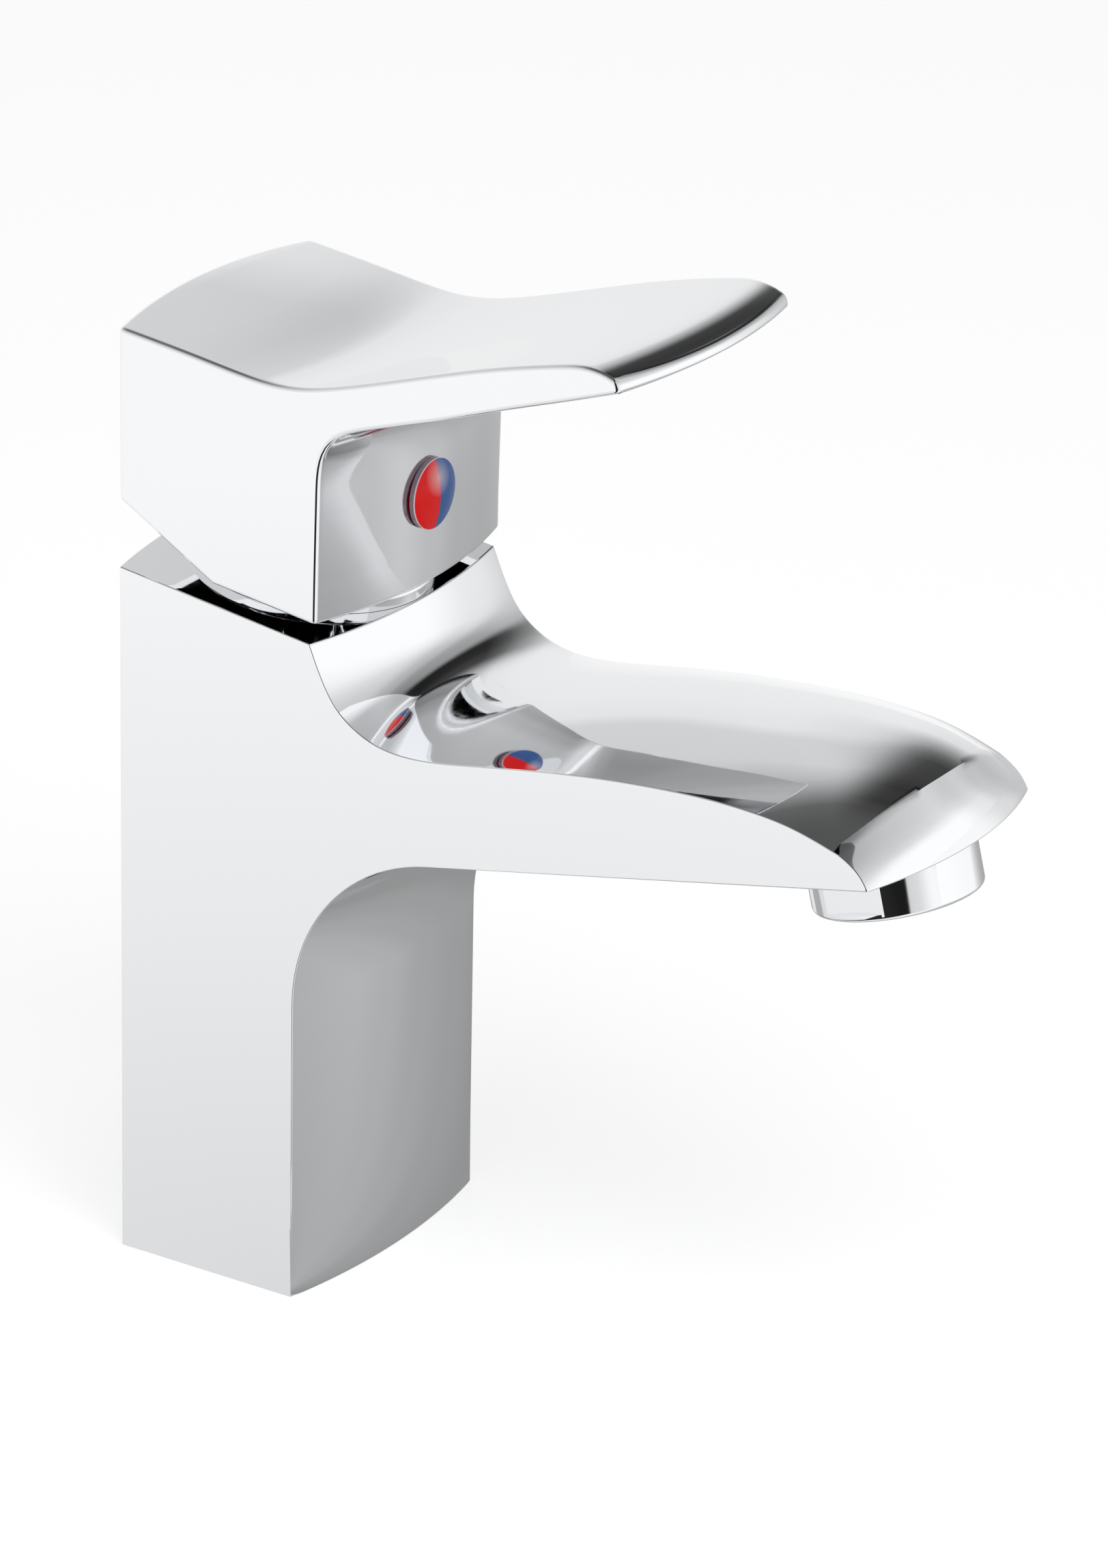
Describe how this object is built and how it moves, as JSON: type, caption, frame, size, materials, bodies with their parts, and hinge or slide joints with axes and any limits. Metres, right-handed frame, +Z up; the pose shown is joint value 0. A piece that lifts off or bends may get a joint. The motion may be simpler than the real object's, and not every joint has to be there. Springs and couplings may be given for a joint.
{
  "type": "bathroom mixer faucet",
  "caption": "Single-lever basin mixer with a rectangular column, a wide flat spout with an aerator, a paddle lever and a ceramic-disc cartridge inside.",
  "frame": {"origin": "centre of the fixing stud's hole in the column's foot, on the deck face", "axes": "+Z up, the spout and the lever point along -Y, +X is the right-hand side seen from the front"},
  "size_m": [0.0514, 0.1417, 0.1668],
  "materials": {
    "chrome_body": "polished chrome plate on brass",
    "chrome_handle": "polished chrome plate on zinc",
    "chrome_ring": "polished chrome plate",
    "chrome_aerator": "polished chrome plate",
    "brass": "machined, bare",
    "steel": "machined",
    "black_rubber": "matte",
    "white_plastic": "moulded",
    "grey_plastic": "moulded",
    "dark_plastic": "moulded",
    "ceramic": "lapped alumina",
    "red_print": "gloss",
    "blue_print": "gloss",
    "clear_lens": "clear moulded acrylic"
  },
  "bodies": {
    "fixed": {"body": "chrome_body", "base_gasket": "black_rubber", "cartridge_base": "white_plastic", "port_seals": "black_rubber", "fixed_disc": "ceramic", "cartridge_housing": "grey_plastic", "retaining_nut": "brass", "trim_ring": "chrome_ring", "thrust_washer": "white_plastic", "aerator_shell": "chrome_aerator", "aerator_washer": "black_rubber", "aerator_insert": "grey_plastic", "aerator_screens": "steel", "aerator_nozzle": "grey_plastic"},
    "swivel": {"sleeve": "dark_plastic", "sleeve_oring": "black_rubber", "pivot_pin": "steel"},
    "valve_disc": {"disc_carrier": "grey_plastic", "moving_disc": "ceramic"},
    "lever": {"spindle": "brass", "handle": "chrome_handle", "grub_screw": "steel", "button_plug": "white_plastic", "button_hot": "red_print", "button_cold": "blue_print", "button_lens": "clear_lens"}
  },
  "joints": [
    {"name": "temperature", "type": "hinge", "parent": "fixed", "child": "swivel", "pos_m": [0, -0.0024, 0.11428], "axis": [0, -0.1305, 0.9914], "range_deg": [-50, 50]},
    {"name": "flow", "type": "hinge", "parent": "swivel", "child": "lever", "pos_m": [0, -0.00201, 0.11131], "axis": [-1, 0, 0], "range_deg": [0, 22]},
    {"name": "disc_slide", "type": "slide", "parent": "swivel", "child": "valve_disc", "axis": [0, -0.9914, -0.1305], "range_m": [0, 0.0031]}
  ],
  "couplings": [
    {"joint": "disc_slide", "follows": "flow", "m_per_rad": 0.0079}
  ]
}
